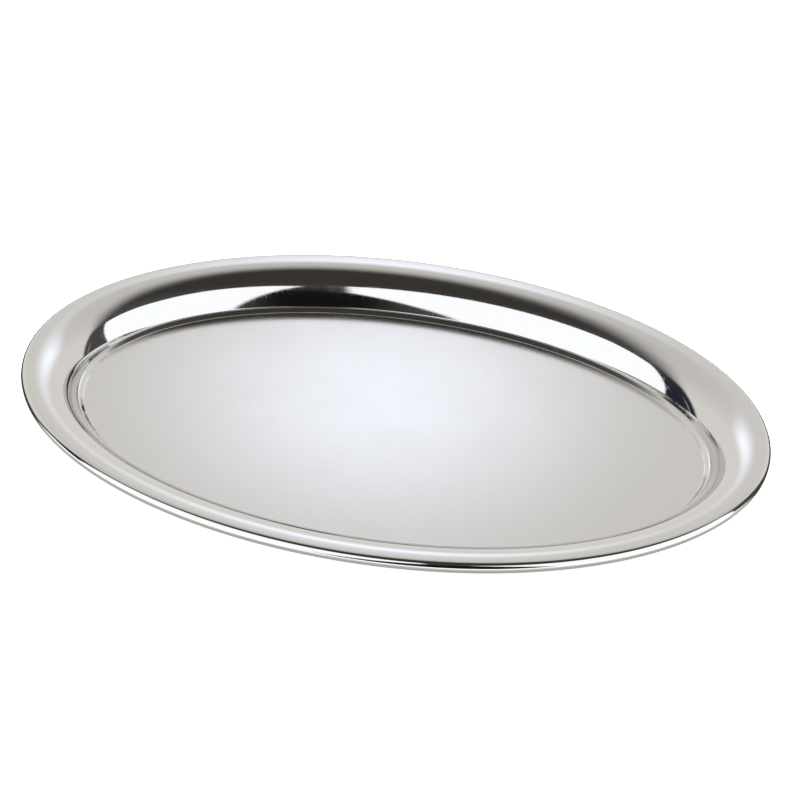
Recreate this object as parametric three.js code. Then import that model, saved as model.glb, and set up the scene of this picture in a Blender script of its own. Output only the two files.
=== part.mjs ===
// Oval serving tray: one sheet of stainless steel pressed into a shallow stepped well, with its
// outer edge curled round a reinforcing wire.
//
// Units are millimetres and +Z is up. X runs along the tray's length. The origin is the centre of
// the well floor's underside, which is the face the tray stands on.
//
// Every section through the tray's edge is the same, so each piece is a lathe of one profile,
// measured across the tray's width and then stretched lengthwise by the same amount at every radius.

import * as THREE from 'three';

// Driving dimensions.
const LENGTH = 400; // over the rolled edge
const WIDTH = 260; // over the rolled edge
const HEIGHT = 20; // from the underside to the top of the rolled edge
const SHEET = 1; // thickness of the steel
const WIRE_RADIUS = 2; // reinforcing wire inside the rolled edge
const WIRE_GAP = 0.3; // clearance between the wire and the sheet round it
const HEEL_RADIUS = 1.2; // hollow bend where the floor turns up into the low step round it
const STEP_ANGLE = 38; // slope of that step, in degrees
const STEP_RADIUS = 1.6; // rounded bend along the top of the step
const LEDGE = 0.3; // width of the ledge between the step and the wall
const LEDGE_ANGLE = 18; // slope of the ledge, in degrees
const FOOT_RADIUS = 0.8; // hollow bend where the wall leaves the ledge
const WALL_ANGLE = 70; // steepest slope of the wall, in degrees
const SHOULDER_RADIUS = 25.3; // broad rounded bend from the wall over to the rim
const RIM_FLAT = 3; // width of the rim between the shoulder and the rolled edge
const RIM_ANGLE = 1.5; // slope of the rim down towards the well, in degrees
const CURL_TURN = 292.5; // how far the rolled edge curls outwards and under, in degrees

// How finely the curves are divided.
const AROUND = 72;
const WIRE_SIDES = 12;
const STEP_BEND_DEGREES = 13;
const WALL_BEND_DEGREES = 11.5;
const CURL_DEGREES = 22.5;

const BEAD_RADIUS = WIRE_RADIUS + WIRE_GAP + SHEET;
const STRETCH = (LENGTH - WIDTH) / 2;

const sin = (degrees) => Math.sin(THREE.MathUtils.degToRad(degrees));
const cos = (degrees) => Math.cos(THREE.MathUtils.degToRad(degrees));

// The top face from the floor's edge outwards. Each row is a straight run, then a bend to a new
// slope. A hollow bend has a positive radius and a rounded one a negative radius. The rim levels
// out before it curls, so that the curl's corners fall exactly at its top and its outermost line.
function profileRows(stepRun) {
  return [
    { run: 0, radius: HEEL_RADIUS, slope: STEP_ANGLE, divide: STEP_BEND_DEGREES },
    { run: stepRun, radius: -STEP_RADIUS, slope: LEDGE_ANGLE, divide: STEP_BEND_DEGREES },
    { run: LEDGE, radius: FOOT_RADIUS, slope: WALL_ANGLE, divide: STEP_BEND_DEGREES },
    { run: 0, radius: -SHOULDER_RADIUS, slope: RIM_ANGLE, divide: WALL_BEND_DEGREES },
    { run: RIM_FLAT, radius: -BEAD_RADIUS, slope: 0, divide: CURL_DEGREES },
    { run: 0, radius: -BEAD_RADIUS, slope: -CURL_TURN, divide: CURL_DEGREES },
  ];
}

// Walks the rows outwards from a starting point and finds each bend's centre.
function profileBends(start, stepRun) {
  const place = start.clone();
  let slope = 0;
  return profileRows(stepRun).map((row) => {
    place.x += row.run * cos(slope);
    place.y += row.run * sin(slope);
    const centre = new THREE.Vector2(place.x - row.radius * sin(slope), place.y + row.radius * cos(slope));
    const bend = { centre, radius: row.radius, from: slope, to: row.slope, divide: row.divide };
    place.set(centre.x + row.radius * sin(row.slope), centre.y - row.radius * cos(row.slope));
    slope = row.slope;
    return bend;
  });
}

// The straight part of the step takes up whatever height the bends leave.
const beadCentre = (bends) => bends[bends.length - 1].centre;
const riseOfBends = beadCentre(profileBends(new THREE.Vector2(0, SHEET), 0)).y + BEAD_RADIUS;
const stepRun = (HEIGHT - riseOfBends) / sin(STEP_ANGLE);
const edgeWidth = beadCentre(profileBends(new THREE.Vector2(), stepRun)).x + BEAD_RADIUS;
const floorEdge = WIDTH / 2 - edgeWidth;
const bends = profileBends(new THREE.Vector2(floorEdge, SHEET), stepRun);
const bead = beadCentre(bends);

// Points along a bend, both ends included, on the face that lies a depth under the top face.
function bendPoints(bend, depth) {
  const steps = Math.max(1, Math.round(Math.abs(bend.to - bend.from) / bend.divide));
  const radius = bend.radius + depth;
  return Array.from({ length: steps + 1 }, (_, i) => {
    const slope = bend.from + ((bend.to - bend.from) * i) / steps;
    return new THREE.Vector2(bend.centre.x + radius * sin(slope), bend.centre.y - radius * cos(slope));
  });
}

// One face of the sheet, from the centre of the floor to the end of the curl.
function sheetFace(depth) {
  return [new THREE.Vector2(0, SHEET - depth), ...bends.flatMap((bend) => bendPoints(bend, depth))];
}

// Where two bends meet, both give the same point; only the first is kept.
function withoutRepeats(points) {
  return points.filter((point, i) => i === 0 || point.distanceTo(points[i - 1]) > 1e-6);
}

// Turns a profile round the upright axis and stretches the ring into an oval. Outside the floor
// the stretch is the same at every radius, so the rim is equally wide all round.
function ovalLathe(profile) {
  const geometry = new THREE.LatheGeometry(profile, AROUND);
  geometry.rotateX(Math.PI / 2);
  const position = geometry.attributes.position;
  for (let i = 0; i < position.count; i += 1) {
    const radius = Math.hypot(position.getX(i), position.getY(i));
    position.setX(i, position.getX(i) * (1 + STRETCH / Math.max(radius, floorEdge)));
  }
  geometry.computeVertexNormals();
  return geometry;
}

function trayBody() {
  const under = sheetFace(SHEET);
  const top = sheetFace(0).reverse();
  const polished = new THREE.MeshStandardMaterial({ color: 0xcfccc6, roughness: 0.1, metalness: 1 });
  return new THREE.Mesh(ovalLathe(withoutRepeats([...under, ...top])), polished);
}

function rimWire() {
  const section = Array.from({ length: WIRE_SIDES + 1 }, (_, i) => {
    const turn = (360 * i) / WIRE_SIDES;
    return new THREE.Vector2(bead.x + WIRE_RADIUS * cos(turn), bead.y + WIRE_RADIUS * sin(turn));
  });
  const drawn = new THREE.MeshStandardMaterial({ color: 0xa8a8a6, roughness: 0.35, metalness: 1 });
  return new THREE.Mesh(ovalLathe(section), drawn);
}

const tray = new THREE.Group();
for (const [name, make] of Object.entries({ tray_body: trayBody, rim_wire: rimWire })) {
  const mesh = make();
  mesh.name = name;
  tray.add(mesh);
}

export default tray;
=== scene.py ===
"""Looks of the oval serving tray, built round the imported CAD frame. Blender lengths are metres."""

import math

import bpy
from mathutils import Matrix, Vector


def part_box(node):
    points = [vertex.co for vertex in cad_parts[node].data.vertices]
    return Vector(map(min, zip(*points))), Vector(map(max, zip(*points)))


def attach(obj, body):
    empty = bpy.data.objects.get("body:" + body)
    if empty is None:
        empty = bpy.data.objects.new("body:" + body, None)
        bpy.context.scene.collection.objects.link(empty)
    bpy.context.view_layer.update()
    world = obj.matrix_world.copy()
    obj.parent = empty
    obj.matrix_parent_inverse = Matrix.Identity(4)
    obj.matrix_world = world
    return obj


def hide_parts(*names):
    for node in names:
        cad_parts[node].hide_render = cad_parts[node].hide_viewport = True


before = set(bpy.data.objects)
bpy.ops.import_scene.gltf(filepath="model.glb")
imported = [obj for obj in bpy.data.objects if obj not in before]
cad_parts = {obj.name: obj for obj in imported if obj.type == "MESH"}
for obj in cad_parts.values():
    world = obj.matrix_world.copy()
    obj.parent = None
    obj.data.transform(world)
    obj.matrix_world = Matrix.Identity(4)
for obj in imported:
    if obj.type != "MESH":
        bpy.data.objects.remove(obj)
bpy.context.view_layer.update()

MM = 0.001

# The tray's section, in millimetres, with the CAD part's own dimensions.
SHEET = 1.0
BEAD_RADIUS = 3.3
WIRE_RADIUS = 2.0
HEEL_RADIUS = 1.2
STEP_ANGLE = 38.0
STEP_RADIUS = 1.6
LEDGE = 0.3
LEDGE_ANGLE = 18.0
FOOT_RADIUS = 0.8
WALL_ANGLE = 70.0
SHOULDER_RADIUS = 25.3
RIM_FLAT = 3.0
RIM_ANGLE = 1.5
CURL_END = -292.5

# How finely the visual meshes are divided.
AROUND = 480
DEGREES_PER_STEP = 3.0
FEWEST_STEPS = 4
WIRE_SIDES = 28
SHARP_ANGLE = 40
SAME_POINT = 1e-5

# Overall size in millimetres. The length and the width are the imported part's own.
low, high = (Vector(corner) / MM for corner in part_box("tray_body"))
LENGTH = high.x - low.x
WIDTH = high.y - low.y
HEIGHT = 20.0

# The oval is a circle drawn out lengthwise by this much at each end.
STRETCH = (LENGTH - WIDTH) / 2


def sin(degrees):
    return math.sin(math.radians(degrees))


def cos(degrees):
    return math.cos(math.radians(degrees))


# --- Section of the tray ---------------------------------------------------------------------


def section_rows(step_run):
    """The top face from the floor's edge outwards. Each row is a straight run, then a bend to a
    new slope; a hollow bend has a positive radius and a rounded one a negative radius."""
    return [
        (0, HEEL_RADIUS, STEP_ANGLE),
        (step_run, -STEP_RADIUS, LEDGE_ANGLE),
        (LEDGE, FOOT_RADIUS, WALL_ANGLE),
        (0, -SHOULDER_RADIUS, RIM_ANGLE),
        (RIM_FLAT, -BEAD_RADIUS, CURL_END),
    ]


def section_bends(start, step_run):
    """Centre, signed radius, first and last slope of each bend, walking outwards from a start."""
    x, z = start
    slope = 0.0
    bends = []
    for run, radius, end in section_rows(step_run):
        x += run * cos(slope)
        z += run * sin(slope)
        centre = (x - radius * sin(slope), z + radius * cos(slope))
        bends.append((centre, radius, slope, end))
        x = centre[0] + radius * sin(end)
        z = centre[1] - radius * cos(end)
        slope = end
    return bends


# The straight part of the step takes up whatever height the bends leave.
rise_of_bends = section_bends((0, SHEET), 0)[-1][0][1] + BEAD_RADIUS
STEP_RUN = (HEIGHT - rise_of_bends) / sin(STEP_ANGLE)
FLOOR_EDGE = WIDTH / 2 - BEAD_RADIUS - section_bends((0, 0), STEP_RUN)[-1][0][0]
BENDS = section_bends((FLOOR_EDGE, SHEET), STEP_RUN)
BEAD = BENDS[-1][0]
# Rings of vertices on the flat floor, as shares of the way out to its edge.
FLOOR_RINGS = [0.12, 0.3, 0.5, 0.7, 0.85, 0.95, 0.99]


def bend_points(centre, radius, start, end):
    """Points along a bend, both ends included, on the face whose signed radius is given."""
    steps = max(FEWEST_STEPS, math.ceil(abs(end - start) / DEGREES_PER_STEP))
    slopes = [start + (end - start) * i / steps for i in range(steps + 1)]
    return [(centre[0] + radius * sin(s), centre[1] - radius * cos(s)) for s in slopes]


def sheet_face(depth):
    """One face of the sheet, from the floor's centre to the end of the curl."""
    points = [(FLOOR_EDGE * share, SHEET - depth) for share in FLOOR_RINGS]
    for centre, radius, start, end in BENDS:
        points += bend_points(centre, radius + depth, start, end)
    return without_repeats(points)


def without_repeats(points):
    """Leaves out each point that falls on the one before it."""
    kept = points[:1]
    for point in points[1:]:
        if math.dist(point, kept[-1]) > SAME_POINT:
            kept.append(point)
    return kept


# --- Meshes ----------------------------------------------------------------------------------

TURNS = [2 * math.pi * i / AROUND for i in range(AROUND)]

# Mesh attributes: each vertex's distance along its face from the axis, in millimetres; one on the
# underside and nothing on the top; and how clear the shade on the floor is.
ALONG = "along"
UNDERSIDE = "underside"
CLEARNESS = "clearness"


def oval_point(radius, height, turn):
    """A point of the section at a place round the tray, with the oval's lengthwise stretch."""
    stretch = STRETCH * min(1.0, radius / FLOOR_EDGE)
    return Vector(((radius + stretch) * math.cos(turn), radius * math.sin(turn), height)) * MM


def ring_faces(rows, closed):
    """Faces between neighbouring rows of vertices round the oval. Closed rows also join the last
    row to the first."""
    faces = []
    for row in range(rows if closed else rows - 1):
        inner = row * AROUND
        outer = (row + 1) % rows * AROUND
        for i in range(AROUND):
            j = (i + 1) % AROUND
            faces.append((inner + i, outer + i, outer + j, inner + j))
    return faces


def add_attribute(mesh, name, values):
    mesh.attributes.new(name, "FLOAT", "POINT").data.foreach_set("value", values)


def add_object(name, data):
    """Puts a mesh, a lamp or a camera into the scene."""
    thing = bpy.data.objects.new(name, data)
    bpy.context.scene.collection.objects.link(thing)
    return thing


def ring_mesh(name, section, closed):
    """A mesh made by carrying a section round the oval. A point of the section is its radius, its
    height, its distance along the face and whether it is on the underside. An open section starts
    and ends near the axis, and each of its two ends is closed by a fan of triangles."""
    vertices = [oval_point(point[0], point[1], turn) for point in section for turn in TURNS]
    along = [point[2] for point in section for _ in TURNS]
    underside = [point[3] for point in section for _ in TURNS]
    rows = len(section)
    faces = ring_faces(rows, closed)
    if not closed:
        for row, order in ((0, -1), (rows - 1, 1)):
            centre = len(vertices)
            vertices.append(Vector((0, 0, section[row][1] * MM)))
            along.append(0.0)
            underside.append(section[row][3])
            for i in range(AROUND):
                rim = (row * AROUND + i, row * AROUND + (i + 1) % AROUND)
                faces.append((centre, *rim[::order]))
    mesh = bpy.data.meshes.new(name)
    mesh.from_pydata(vertices, [], faces)
    mesh.update()
    add_attribute(mesh, ALONG, along)
    add_attribute(mesh, UNDERSIDE, underside)
    mesh.shade_smooth()
    mesh.set_sharp_from_angle(angle=math.radians(SHARP_ANGLE))
    return add_object(name, mesh)


def with_distances(points, underside):
    """Adds to each point its distance along the line from the axis, and the face it is on."""
    along = points[0][0]
    measured = [(*points[0], along, underside)]
    for before, point in zip(points, points[1:]):
        along += math.dist(before, point)
        measured.append((*point, along, underside))
    return measured


def make_tray_shell():
    section = with_distances(sheet_face(SHEET), 1.0) + with_distances(sheet_face(0), 0.0)[::-1]
    return ring_mesh("tray_shell", section, closed=False)


def make_edge_wire():
    section = []
    for i in range(WIRE_SIDES):
        turn = 90 + 360 * i / WIRE_SIDES
        radius = BEAD[0] + WIRE_RADIUS * cos(turn)
        height = BEAD[1] + WIRE_RADIUS * sin(turn)
        section.append((radius, height, math.radians(turn) * WIRE_RADIUS, 0.0))
    return ring_mesh("edge_wire", section, closed=True)


# --- Materials -------------------------------------------------------------------------------


class Nodes:
    """A few shorthands for making the nodes of one tree."""

    def __init__(self, tree):
        self.tree = tree

    def add(self, kind, **settings):
        node = self.tree.nodes.new(kind)
        for name, value in settings.items():
            setattr(node, name, value)
        return node

    def put(self, socket, value):
        if isinstance(value, bpy.types.NodeSocket):
            self.tree.links.new(value, socket)
        else:
            socket.default_value = value

    def math(self, operation, *values):
        node = self.add("ShaderNodeMath", operation=operation)
        for socket, value in zip(node.inputs, values):
            self.put(socket, value)
        return node.outputs[0]

    def total(self, *values):
        result = values[0]
        for value in values[1:]:
            result = self.math("ADD", result, value)
        return result

    def dot(self, vector, axis):
        node = self.add("ShaderNodeVectorMath", operation="DOT_PRODUCT")
        self.put(node.inputs[0], vector)
        self.put(node.inputs[1], axis)
        return node.outputs["Value"]

    def smooth(self, value, start, end, low=0.0, high=1.0):
        """Runs smoothly from low to high as value goes from start to end."""
        node = self.add("ShaderNodeMapRange", interpolation_type="SMOOTHSTEP")
        for socket, number in zip(node.inputs, (value, start, end, low, high)):
            self.put(socket, number)
        return node.outputs["Result"]

    def near(self, value, place, reach):
        """One at a place, falling smoothly to nothing at a reach from it."""
        distance = self.math("ABSOLUTE", self.math("SUBTRACT", value, place))
        return self.smooth(distance, 0.0, reach, 1.0, 0.0)

    def noise(self, vector, scale, detail):
        """Fractal noise about zero, mostly between -0.25 and 0.25."""
        node = self.add("ShaderNodeTexNoise")
        self.put(node.inputs["Vector"], vector)
        self.put(node.inputs["Scale"], scale)
        self.put(node.inputs["Detail"], detail)
        return self.math("SUBTRACT", node.outputs[0], 0.5)

    def join(self, x, y, z=0.0):
        node = self.add("ShaderNodeCombineXYZ")
        for socket, value in zip(node.inputs, (x, y, z)):
            self.put(socket, value)
        return node.outputs[0]

    def ramp(self, value, start, end, low, high):
        """Runs evenly from low to high as value goes from start to end."""
        node = self.add("ShaderNodeMapRange")
        for socket, number in zip(node.inputs, (value, start, end, low, high)):
            self.put(socket, number)
        return node.outputs["Result"]

    def mix(self, share, first, second):
        """The first colour where share is nothing, the second where it is one."""
        node = self.add("ShaderNodeMix", data_type="RGBA")
        self.put(node.inputs["Factor"], share)
        self.put(node.inputs[6], first)
        self.put(node.inputs[7], second)
        return node.outputs[2]

    def attribute(self, name):
        return self.add("ShaderNodeAttribute", attribute_name=name).outputs["Fac"]

    def position(self):
        return self.add("ShaderNodeTexCoord").outputs["Object"]

    def surface(self, shader):
        output = self.add("ShaderNodeOutputMaterial")
        self.put(output.inputs["Surface"], shader)


def new_material(name):
    """An empty material and the shorthands for its nodes."""
    material = bpy.data.materials.new(name)
    material.use_nodes = True
    material.node_tree.nodes.clear()
    return material, Nodes(material.node_tree)


def metal(n, colour, roughness, height):
    """A metal surface with relief. The height is in millimetres."""
    bump = n.add("ShaderNodeBump")
    bump.inputs["Strength"].default_value = 1.0
    bump.inputs["Distance"].default_value = MM
    n.put(bump.inputs["Height"], height)
    shader = n.add("ShaderNodeBsdfPrincipled")
    shader.inputs["Metallic"].default_value = 1
    n.put(shader.inputs["Base Color"], colour)
    n.put(shader.inputs["Roughness"], roughness)
    n.put(shader.inputs["Normal"], bump.outputs["Normal"])
    n.surface(shader.outputs["BSDF"])


# Roughness of the polished steel, of the satin floor, which reaches a little up the step, and of
# the underside, which keeps the rolling mill's finish.
POLISHED = 0.04
SATIN = 0.14
MILL = 0.3
SATIN_EDGE = FLOOR_EDGE + 0.3
SATIN_EDGE_SOFTNESS = 0.3

# How far clouds, grain and lines change the roughness, and what wear adds to it.
CLOUD_SHARE = 0.8
GRAIN_SHARE = 0.4
LINES_SHARE = 0.8
HAIRLINE_ROUGHNESS = 0.08
RUBBED_ROUGHNESS = 0.06
CREASE_ROUGHNESS = 0.1

STEEL = (0.66, 0.645, 0.62, 1)
TARNISH = (0.45, 0.42, 0.38, 1)

# Fineness of the noise, in cells to a metre, and for lines in lines to a millimetre.
WAVE_CELLS = 13.0
CLOUD_CELLS = 28.0
PATCH_CELLS = 90.0
GRAIN_CELLS = 2600.0
POLISH_LINES_PER_MM = 4.0
POLISH_BREAKS = 20
MILL_LINES_PER_METRE = 3000
MILL_BREAKS = 30

# Noise values between which a rubbed patch fades in.
PATCH_EDGES = (-0.05, 0.2)

# Directions of the scratches, in degrees from the tray's length, their size in millimetres, and
# the noise values between which a scratch fades in.
SCRATCH_TURNS = (12, 71, 133)
SCRATCH_WIDTH = 0.22
SCRATCH_LENGTH = 22.0
SCRATCH_EDGES = (0.21, 0.27)

# Height of the surface detail, in millimetres.
WAVE_HEIGHT = 0.06
POLISH_LINE_HEIGHT = 0.0004
GRAIN_HEIGHT = 0.0004
SCRATCH_DEPTH = 0.001
MILL_LINE_HEIGHT = 0.002


def bend_places():
    """Distance along the top face from the axis to where each bend starts."""
    distance = FLOOR_EDGE
    places = []
    for (run, _, _), (_, radius, start, end) in zip(section_rows(STEP_RUN), BENDS):
        distance += run
        places.append(distance)
        distance += abs(math.radians(end - start) * radius)
    return places


HEEL_PLACE, LEDGE_PLACE, FOOT_PLACE, _, BEAD_PLACE = bend_places()
BEAD_SIDE = BEAD_PLACE + math.radians(RIM_ANGLE + 90) * BEAD_RADIUS

# Where the finish is rubbed and where the creases lie: a distance along the face and a reach to
# either side, in millimetres.
RUBBED_LEDGE = (LEDGE_PLACE + 0.4, 1.2)
RUBBED_EDGE = (BEAD_SIDE, 2.5)
RUBBED_BASE = (FLOOR_EDGE - 3, 6.0)
HEEL_CREASE = (HEEL_PLACE + 0.5, 0.7)
FOOT_CREASE = (FOOT_PLACE + 0.3, 0.6)


def scratches(n, position):
    """Sparse hairlines in a few directions, one where a scratch runs and nothing between."""
    marks = []
    for turn in SCRATCH_TURNS:
        lengthwise = n.dot(position, Vector((cos(turn), sin(turn), 0)) / (SCRATCH_LENGTH * MM))
        across = n.dot(position, Vector((-sin(turn), cos(turn), 0)) / (SCRATCH_WIDTH * MM))
        noise = n.noise(n.join(lengthwise, across, turn), 1.0, detail=0.0)
        marks.append(n.smooth(noise, *SCRATCH_EDGES))
    return n.math("MINIMUM", n.total(*marks), 1.0)


def polished_steel():
    """Mirror-polished steel with a satin floor. Fine polishing lines follow the rim, the floor has
    a fine grain and hairline scratches, and the creases hold a little tarnish."""
    material, n = new_material("polished_steel")
    position = n.position()
    along = n.attribute(ALONG)
    underside = n.attribute(UNDERSIDE)
    top = n.math("SUBTRACT", 1.0, underside)
    satin_start = SATIN_EDGE - SATIN_EDGE_SOFTNESS
    satin_end = SATIN_EDGE + SATIN_EDGE_SOFTNESS
    satin = n.math("MULTIPLY", n.smooth(along, satin_start, satin_end, 1.0, 0.0), top)
    polished = n.math("SUBTRACT", top, satin)

    lengthwise = n.dot(position, (POLISH_BREAKS, 0, 0))
    crosswise = n.dot(position, (0, POLISH_BREAKS, 0))
    lines = n.math("MULTIPLY", along, POLISH_LINES_PER_MM)
    lines = n.noise(n.join(lines, lengthwise, crosswise), 1.0, detail=3.0)
    lines = n.math("MULTIPLY", lines, polished)
    mill_breaks = n.dot(position, (MILL_BREAKS, 0, 0))
    mill_lines = n.dot(position, (0, MILL_LINES_PER_METRE, 0))
    mill_lines = n.noise(n.join(mill_breaks, mill_lines), 1.0, detail=3.0)
    mill_lines = n.math("MULTIPLY", mill_lines, underside)
    cloud = n.noise(position, CLOUD_CELLS, detail=3.0)
    grain = n.noise(position, GRAIN_CELLS, detail=1.0)
    hairlines = n.math("MULTIPLY", scratches(n, position), top)

    # Wear: rubbed along the ledge and the outermost line of the rim, and where the tray stands.
    rubbed = n.total(
        n.math("MULTIPLY", n.near(along, *RUBBED_LEDGE), top),
        n.math("MULTIPLY", n.near(along, *RUBBED_EDGE), top),
        n.math("MULTIPLY", n.near(along, *RUBBED_BASE), underside),
    )
    patches = n.smooth(n.noise(position, PATCH_CELLS, detail=4.0), *PATCH_EDGES)
    rubbed = n.math("MULTIPLY", rubbed, patches)
    crease = n.total(n.near(along, *HEEL_CREASE), n.near(along, *FOOT_CREASE))
    crease = n.math("MULTIPLY", n.math("MULTIPLY", crease, top), patches)

    finish = n.total(
        n.math("MULTIPLY", satin, SATIN),
        n.math("MULTIPLY", polished, POLISHED),
        n.math("MULTIPLY", underside, MILL),
    )
    variation = n.total(
        1.0,
        n.math("MULTIPLY", cloud, CLOUD_SHARE),
        n.math("MULTIPLY", grain, GRAIN_SHARE),
        n.math("MULTIPLY", lines, LINES_SHARE),
        n.math("MULTIPLY", mill_lines, LINES_SHARE),
    )
    roughness = n.total(
        n.math("MULTIPLY", finish, variation),
        n.math("MULTIPLY", hairlines, HAIRLINE_ROUGHNESS),
        n.math("MULTIPLY", rubbed, RUBBED_ROUGHNESS),
        n.math("MULTIPLY", crease, CREASE_ROUGHNESS),
    )
    height = n.total(
        n.math("MULTIPLY", n.noise(position, WAVE_CELLS, detail=1.0), WAVE_HEIGHT),
        n.math("MULTIPLY", lines, POLISH_LINE_HEIGHT),
        n.math("MULTIPLY", n.math("MULTIPLY", grain, satin), GRAIN_HEIGHT),
        n.math("MULTIPLY", mill_lines, MILL_LINE_HEIGHT),
        n.math("MULTIPLY", hairlines, -SCRATCH_DEPTH),
    )
    metal(n, n.mix(crease, STEEL, TARNISH), roughness, height)
    return material


# The wire's finish, in the same units as the sheet's.
WIRE_STEEL = (0.52, 0.52, 0.51, 1)
WIRE_SCALE = (0.36, 0.35, 0.34, 1)
WIRE_ROUGHNESS = 0.3
WIRE_LINES_SHARE = 0.25
WIRE_SCALE_ROUGHNESS = 0.12
WIRE_LINES_PER_MM = 9.0
WIRE_BREAKS = 60
WIRE_PATCH_CELLS = 240.0
WIRE_PATCH_EDGES = (-0.1, 0.2)
WIRE_LINE_HEIGHT = 0.01


def wire_steel():
    """Drawn wire: fine lines run along it, with patches of darker scale."""
    material, n = new_material("wire_steel")
    position = n.position()
    around = n.math("MULTIPLY", n.attribute(ALONG), WIRE_LINES_PER_MM)
    lengthwise = n.dot(position, (WIRE_BREAKS, 0, 0))
    crosswise = n.dot(position, (0, WIRE_BREAKS, 0))
    lines = n.noise(n.join(around, lengthwise, crosswise), 1.0, detail=3.0)
    patches = n.smooth(n.noise(position, WIRE_PATCH_CELLS, detail=4.0), *WIRE_PATCH_EDGES)
    roughness = n.total(
        WIRE_ROUGHNESS,
        n.math("MULTIPLY", lines, WIRE_LINES_SHARE),
        n.math("MULTIPLY", patches, WIRE_SCALE_ROUGHNESS),
    )
    height = n.math("MULTIPLY", lines, WIRE_LINE_HEIGHT)
    metal(n, n.mix(patches, WIRE_STEEL, WIRE_SCALE), roughness, height)
    return material


# --- Camera ----------------------------------------------------------------------------------

# Angles in degrees, the lens and the sensor in millimetres, distances in metres. The camera aims
# a little to the right of the well's middle and above it.
CAMERA_ELEVATION = 38.0
CAMERA_AZIMUTH = 9.1
CAMERA_ROLL = 3.2
CAMERA_DISTANCE = 1.279
CAMERA_LENS = 108.0
CAMERA_SENSOR = 36
AIM_RIGHT = 0.0047
AIM_UP = 0.0132

# Level directions of the studio, which is set up square to the camera.
STUDIO_RIGHT = Vector((cos(CAMERA_AZIMUTH), sin(CAMERA_AZIMUTH), 0))
STUDIO_BACK = Vector((sin(CAMERA_AZIMUTH), -cos(CAMERA_AZIMUTH), 0))
UP = Vector((0, 0, 1))


def make_camera():
    """The camera looks down at the well from one long side, turned a little about its own axis."""
    towards = STUDIO_BACK * cos(CAMERA_ELEVATION) + UP * sin(CAMERA_ELEVATION)
    target = UP * SHEET * MM
    place = target + towards * CAMERA_DISTANCE
    level_up = towards.cross(STUDIO_RIGHT)
    right = STUDIO_RIGHT * cos(CAMERA_ROLL) + level_up * sin(CAMERA_ROLL)
    up = level_up * cos(CAMERA_ROLL) - STUDIO_RIGHT * sin(CAMERA_ROLL)
    towards = (place - target - right * AIM_RIGHT - up * AIM_UP).normalized()
    right = up.cross(towards).normalized()
    up = towards.cross(right)
    data = bpy.data.cameras.new("camera")
    data.lens = CAMERA_LENS
    data.sensor_width = CAMERA_SENSOR
    camera = add_object("camera", data)
    camera.matrix_world = Matrix((right, up, towards)).transposed().to_4x4()
    camera.location = place
    bpy.context.scene.camera = camera


# --- Studio ----------------------------------------------------------------------------------

# Radiance of what surrounds the tray. In front is a pale tent. Behind the camera and overhead the
# tent is open to a dark room, in which two white cards stand with a gap between them. The room is
# less dark low down, and cooler on the left.
TENT = (0.945, 0.937, 0.925, 1)
DARK = (0.054, 0.050, 0.046, 1)
LOW_DARK = (0.088, 0.087, 0.086, 1)
COOL_DARK = (0.024, 0.029, 0.040, 1)
GAP = (0.010, 0.0095, 0.010, 1)
STRIP = (0.30, 0.29, 0.28, 1)
CARD = (1.46, 1.52, 1.60, 1)

# A card's edges fade over this share of its distance to either side. A card is seen only where a
# direction points towards it by more than CARD_FRONT.
CARD_SOFTNESS = 0.03
CARD_FRONT = 0.1

# Azimuths of the two cards from the camera's own, in degrees. The other figures are shares of the
# card's distance: where its sides stand at the floor, how far they lean, and its top.
LEFT_CARD_FACING = -30
LEFT_CARD_OUTER = -1.24
LEFT_CARD_INNER = 0.10
LEFT_CARD_LEAN = 0.42
LEFT_CARD_INNERMOST = 0.535
LEFT_CARD_TOP = 1.80
LEFT_CARD_CORNER = -0.9
RIGHT_CARD_FACING = 45
RIGHT_CARD_INNER = -0.345
RIGHT_CARD_INNER_LEAN = -0.2
RIGHT_CARD_OUTER = 0.99
RIGHT_CARD_OUTER_LEAN = 0.21
RIGHT_CARD_TOP = 1.33
RIGHT_CARD_CORNER = 0.3
RIGHT_CARD_CORNER_RISE = 0.45

# The tent dims between two elevations and ends between two higher ones, all in degrees.
TENT_DIMMING = (25, 54)
TENT_DIMMED = 0.8
TENT_END = (58, 83)

# A direction has length one, and its parts pointing right, back and up are measured below. The
# tent's edge lies where back and a little of right add up to minus TENT_EDGE. It bulges below one
# height and above another, and it grows softer between two heights.
TENT_EDGE = 0.13
TENT_EDGE_TURN = 0.125
LOW_BULGE_TOP = 0.62
LOW_BULGE = 0.45
HIGH_BULGE_FOOT = 0.74
HIGH_BULGE = 0.3
SOFTENING = (0.5, 0.78)
SOFTNESS = (0.035, 0.18)

# Between which values each region of the room fades in or out. The strip of light is measured
# from the tent's edge.
GAP_MIDDLE = 0.08
GAP_SIDES = (0.12, 0.4)
GAP_FRONT = (0.1, 0.5)
GAP_TOP = (0.95, 0.6)
LOW_DARK_TOP = (0.8, 0.95)
COOL_DARK_SIDE = (-0.95, -0.6)
STRIP_PLACE = 0.105
STRIP_SIDES = (0.008, 0.02)
STRIP_TOP = (0.2, 0.36)


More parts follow.
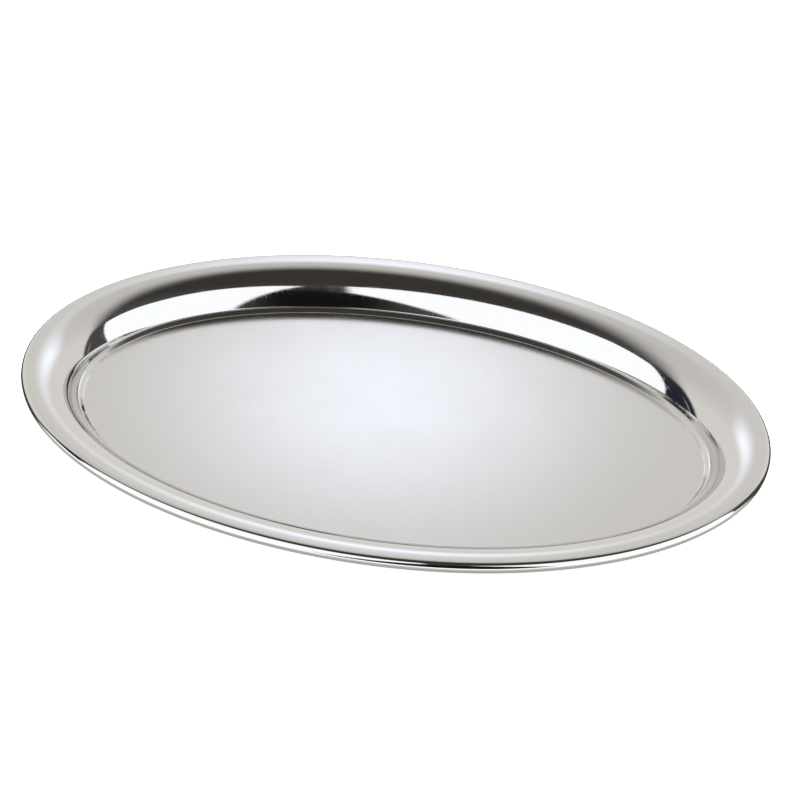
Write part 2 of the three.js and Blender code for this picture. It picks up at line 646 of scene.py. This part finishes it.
def upright_card(n, direction, facing, side_left, side_right, top):
    """Share of an upright card seen in a direction. The card stands square to the azimuth
    called facing, in degrees from the camera's own; its sides and top are given in units of its
    distance, each as a function of the place up or along the card."""
    outwards = STUDIO_BACK * cos(facing) + STUDIO_RIGHT * sin(facing)
    along = STUDIO_RIGHT * cos(facing) - STUDIO_BACK * sin(facing)
    towards = n.dot(direction, outwards)
    never_zero = 0.001
    depth = n.math("MAXIMUM", towards, never_zero)
    across = n.math("DIVIDE", n.dot(direction, along), depth)
    height = n.math("DIVIDE", n.dot(direction, UP), depth)
    inside = [
        n.math("SUBTRACT", across, side_left(n, height)),
        n.math("SUBTRACT", side_right(n, height), across),
        n.math("SUBTRACT", top(n, across), height),
        n.math("SUBTRACT", towards, CARD_FRONT),
    ]
    share = 1.0
    for distance in inside:
        share = n.math("MULTIPLY", share, n.smooth(distance, -CARD_SOFTNESS, CARD_SOFTNESS))
    return share


def left_card(n, direction):
    """Its inner side leans inwards up to a limit, and its outer top corner slopes down."""
    def outer_side(n, height):
        return LEFT_CARD_OUTER

    def inner_side(n, height):
        leaning = n.math("MULTIPLY_ADD", height, LEFT_CARD_LEAN, LEFT_CARD_INNER)
        return n.math("MINIMUM", leaning, LEFT_CARD_INNERMOST)

    def top(n, across):
        past_corner = n.math("MAXIMUM", n.math("SUBTRACT", LEFT_CARD_CORNER, across), 0.0)
        return n.math("SUBTRACT", LEFT_CARD_TOP, past_corner)

    return upright_card(n, direction, LEFT_CARD_FACING, outer_side, inner_side, top)


def right_card(n, direction):
    """It widens upwards, and its top rises towards the inner side."""
    def inner_side(n, height):
        return n.math("MULTIPLY_ADD", height, RIGHT_CARD_INNER_LEAN, RIGHT_CARD_INNER)

    def outer_side(n, height):
        return n.math("MULTIPLY_ADD", height, RIGHT_CARD_OUTER_LEAN, RIGHT_CARD_OUTER)

    def top(n, across):
        past_corner = n.math("MAXIMUM", n.math("SUBTRACT", RIGHT_CARD_CORNER, across), 0.0)
        return n.math("MULTIPLY_ADD", past_corner, RIGHT_CARD_CORNER_RISE, RIGHT_CARD_TOP)

    return upright_card(n, direction, RIGHT_CARD_FACING, inner_side, outer_side, top)


def tent_opening(n, right, back, up):
    """How far a direction lies past the tent's edge: negative inside the tent, positive outside."""
    low = n.math("MAXIMUM", n.math("SUBTRACT", LOW_BULGE_TOP, up), 0.0)
    high = n.math("MAXIMUM", n.math("SUBTRACT", up, HIGH_BULGE_FOOT), 0.0)
    bulge = n.math("ADD", n.math("MULTIPLY", high, HIGH_BULGE), TENT_EDGE)
    bulge = n.math("ADD", n.math("MULTIPLY", low, LOW_BULGE), bulge)
    return n.math("ADD", n.math("MULTIPLY_ADD", right, TENT_EDGE_TURN, back), bulge)


def tent_share(n, opening, up):
    """Share of the tent seen in a direction."""
    elevation = n.math("ARCSINE", up)
    dimming = [math.radians(degrees) for degrees in TENT_DIMMING]
    end = [math.radians(degrees) for degrees in TENT_END]
    fade = n.ramp(elevation, *dimming, 1.0, TENT_DIMMED)
    overhead = n.smooth(elevation, *end, 1.0, 0.0)
    softness = n.ramp(up, *SOFTENING, *SOFTNESS)
    curtain = n.smooth(n.math("DIVIDE", opening, softness), -1.0, 1.0, 1.0, 0.0)
    return n.math("MULTIPLY", n.math("MULTIPLY", fade, overhead), curtain)


def room_tone(n, opening, right, back, up):
    """The room is darkest between the cards, and a strip of light shows past the tent's edge."""
    off_middle = n.math("ABSOLUTE", n.math("SUBTRACT", right, GAP_MIDDLE))
    between = n.smooth(off_middle, *GAP_SIDES, 1.0, 0.0)
    between = n.math("MULTIPLY", between, n.smooth(back, *GAP_FRONT))
    between = n.math("MULTIPLY", between, n.smooth(up, *GAP_TOP))
    room = n.mix(n.smooth(up, *LOW_DARK_TOP), LOW_DARK, DARK)
    room = n.mix(n.smooth(right, *COOL_DARK_SIDE), COOL_DARK, room)
    room = n.mix(between, room, GAP)
    off_strip = n.math("ABSOLUTE", n.math("SUBTRACT", opening, STRIP_PLACE))
    strip = n.smooth(off_strip, *STRIP_SIDES, 1.0, 0.0)
    strip = n.math("MULTIPLY", strip, n.smooth(up, *STRIP_TOP, 1.0, 0.0))
    return n.mix(strip, room, STRIP)


def make_world():
    """What the polished steel mirrors, as a tone for each direction."""
    world = bpy.data.worlds.new("studio")
    world.use_nodes = True
    world.node_tree.nodes.clear()
    bpy.context.scene.world = world
    n = Nodes(world.node_tree)
    direction = n.add("ShaderNodeTexCoord").outputs["Generated"]
    right = n.dot(direction, STUDIO_RIGHT)
    back = n.dot(direction, STUDIO_BACK)
    up = n.dot(direction, UP)
    opening = tent_opening(n, right, back, up)
    tone = n.mix(tent_share(n, opening, up), room_tone(n, opening, right, back, up), TENT)
    tone = n.mix(left_card(n, direction), tone, CARD)
    tone = n.mix(right_card(n, direction), tone, CARD)
    background = n.add("ShaderNodeBackground")
    n.put(background.inputs["Color"], tone)
    output = n.add("ShaderNodeOutputWorld")
    n.put(output.inputs["Surface"], background.outputs["Background"])


def hide_from_all_but_mirrors(thing):
    thing.visible_camera = False
    thing.visible_shadow = False
    thing.visible_diffuse = False


# A lamp makes a soft bluish glow on the tent in front of the tray. Distances in metres.
GLOW_FRONT = 0.55
GLOW_RIGHT = -0.009
GLOW_HEIGHT = 0.405
GLOW_HALF_WIDTH = 0.259
GLOW_HALF_HEIGHT = 0.1545
GLOW = (0.53, 0.616, 0.805, 1)


def make_glow():
    """A clear card whose light fades from its middle outwards."""
    place = STUDIO_BACK * -GLOW_FRONT + STUDIO_RIGHT * GLOW_RIGHT + UP * GLOW_HEIGHT
    mesh = bpy.data.meshes.new("tent_glow")
    corners = [(-1, -1, 0), (1, -1, 0), (1, 1, 0), (-1, 1, 0)]
    mesh.from_pydata(corners, [], [(0, 1, 2, 3)])
    glow = add_object("tent_glow", mesh)
    glow.rotation_euler = (-place).to_track_quat("Z", "Y").to_euler()
    glow.scale = (GLOW_HALF_WIDTH, GLOW_HALF_HEIGHT, 1)
    glow.location = place
    hide_from_all_but_mirrors(glow)
    material, n = new_material("tent_glow")
    length = n.add("ShaderNodeVectorMath", operation="LENGTH")
    n.put(length.inputs[0], n.position())
    emission = n.add("ShaderNodeEmission")
    n.put(emission.inputs["Color"], GLOW)
    n.put(emission.inputs["Strength"], n.smooth(length.outputs["Value"], 0.0, 1.0, 1.0, 0.0))
    clear = n.add("ShaderNodeBsdfTransparent")
    both = n.add("ShaderNodeAddShader")
    n.put(both.inputs[0], emission.outputs[0])
    n.put(both.inputs[1], clear.outputs[0])
    n.surface(both.outputs[0])
    mesh.materials.append(material)


# The floor is a pale disc, lit a little from within so that the tray's own shadow stays faint.
FLOOR_RADIUS = 3.0
FLOOR_SIDES = 96
FLOOR_ROUGHNESS = 0.8
FLOOR_TONE = (0.9, 0.9, 0.895, 1)
FLOOR_LIGHT = 0.8


def make_floor():
    mesh = bpy.data.meshes.new("floor")
    turns = [360 * i / FLOOR_SIDES for i in range(FLOOR_SIDES)]
    rim = [(FLOOR_RADIUS * cos(turn), FLOOR_RADIUS * sin(turn), 0) for turn in turns]
    mesh.from_pydata(rim, [], [tuple(range(FLOOR_SIDES))])
    floor = add_object("floor", mesh)
    material, n = new_material("floor")
    shader = n.add("ShaderNodeBsdfPrincipled")
    shader.inputs["Base Color"].default_value = FLOOR_TONE
    shader.inputs["Roughness"].default_value = FLOOR_ROUGHNESS
    shader.inputs["Specular IOR Level"].default_value = 0.0
    shader.inputs["Emission Color"].default_value = FLOOR_TONE
    shader.inputs["Emission Strength"].default_value = FLOOR_LIGHT
    n.surface(shader.outputs["BSDF"])
    mesh.materials.append(material)


# A painted shadow on the floor: a glowing sheet which only the polished edge mirrors, standing in for
# the tray's shadow on the table. In front of the tray it lies under the edge and fades outwards.
# Behind a line across the floor it is darker, a painted shade of the dark room, and goes on outwards.
# Radii and the lift are in millimetres; each radius has a clearness, between nothing and one.
SHADE_RINGS = [
    (FLOOR_EDGE + 8, 0.0),
    (WIDTH / 2 + 16, 0.0),
    (WIDTH / 2 + 70, 0.5),
    (WIDTH / 2 + 300, 1.0),
    (2500.0, 1.0),
]
SHADE_LIFT = 0.2
SHADE_TONE = (0.58, 0.575, 0.57, 1)
SHADE_BEHIND = (0.075, 0.071, 0.062, 1)

# The line lies this far in front of the tray's middle, in metres, and further in front on the right.
SHADE_LINE = 0.038
SHADE_LINE_TURN = -0.07
SHADE_LINE_SOFTNESS = 0.010


def make_shade():
    """A flat ring of painted shadow on the floor round the tray, which only mirrors see."""
    vertices = [oval_point(radius, SHADE_LIFT, turn) for radius, _ in SHADE_RINGS for turn in TURNS]
    mesh = bpy.data.meshes.new("edge_shade")
    mesh.from_pydata(vertices, [], ring_faces(len(SHADE_RINGS), closed=False))
    mesh.update()
    add_attribute(mesh, CLEARNESS, [clearness for _, clearness in SHADE_RINGS for _ in TURNS])
    shade = add_object("edge_shade", mesh)
    hide_from_all_but_mirrors(shade)
    material, n = new_material("edge_shade")
    forward = n.dot(n.position(), STUDIO_BACK + STUDIO_RIGHT * SHADE_LINE_TURN)
    line_start = SHADE_LINE - SHADE_LINE_SOFTNESS
    line_end = SHADE_LINE + SHADE_LINE_SOFTNESS
    in_front = n.smooth(forward, line_start, line_end)
    emission = n.add("ShaderNodeEmission")
    # In front of the line, the painted shadow of the tray on the table; behind it, the painted shade
    # of the dark room.
    n.put(emission.inputs["Color"], n.mix(in_front, SHADE_BEHIND, SHADE_TONE))
    nothing = n.add("ShaderNodeBsdfTransparent")
    both = n.add("ShaderNodeMixShader")
    n.put(both.inputs[0], n.math("MULTIPLY", n.attribute(CLEARNESS), in_front))
    n.put(both.inputs[1], emission.outputs[0])
    n.put(both.inputs[2], nothing.outputs[0])
    n.surface(both.outputs[0])
    mesh.materials.append(material)


# The lamp over the tray: its power in watts, its width and its height in metres.
TOP_LIGHT = 36
TOP_LIGHT_SIZE = 1.6
TOP_LIGHT_HEIGHT = 1.8


def make_top_light():
    """A broad soft light that brightens the floor, and that the polished steel doesn't mirror."""
    data = bpy.data.lights.new("top_light", "AREA")
    data.shape = "DISK"
    data.size = TOP_LIGHT_SIZE
    data.energy = TOP_LIGHT
    light = add_object("top_light", data)
    light.location = (0, 0, TOP_LIGHT_HEIGHT)
    light.visible_glossy = False


# --- Assembly --------------------------------------------------------------------------------


def main():
    bpy.context.scene.view_settings.view_transform = "Standard"
    make_camera()
    make_world()
    make_glow()
    make_floor()
    make_shade()
    make_top_light()
    shell = make_tray_shell()
    shell.data.materials.append(polished_steel())
    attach(shell, "root")
    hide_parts("tray_body")
    wire = make_edge_wire()
    wire.data.materials.append(wire_steel())
    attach(wire, "root")
    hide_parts("rim_wire")


main()
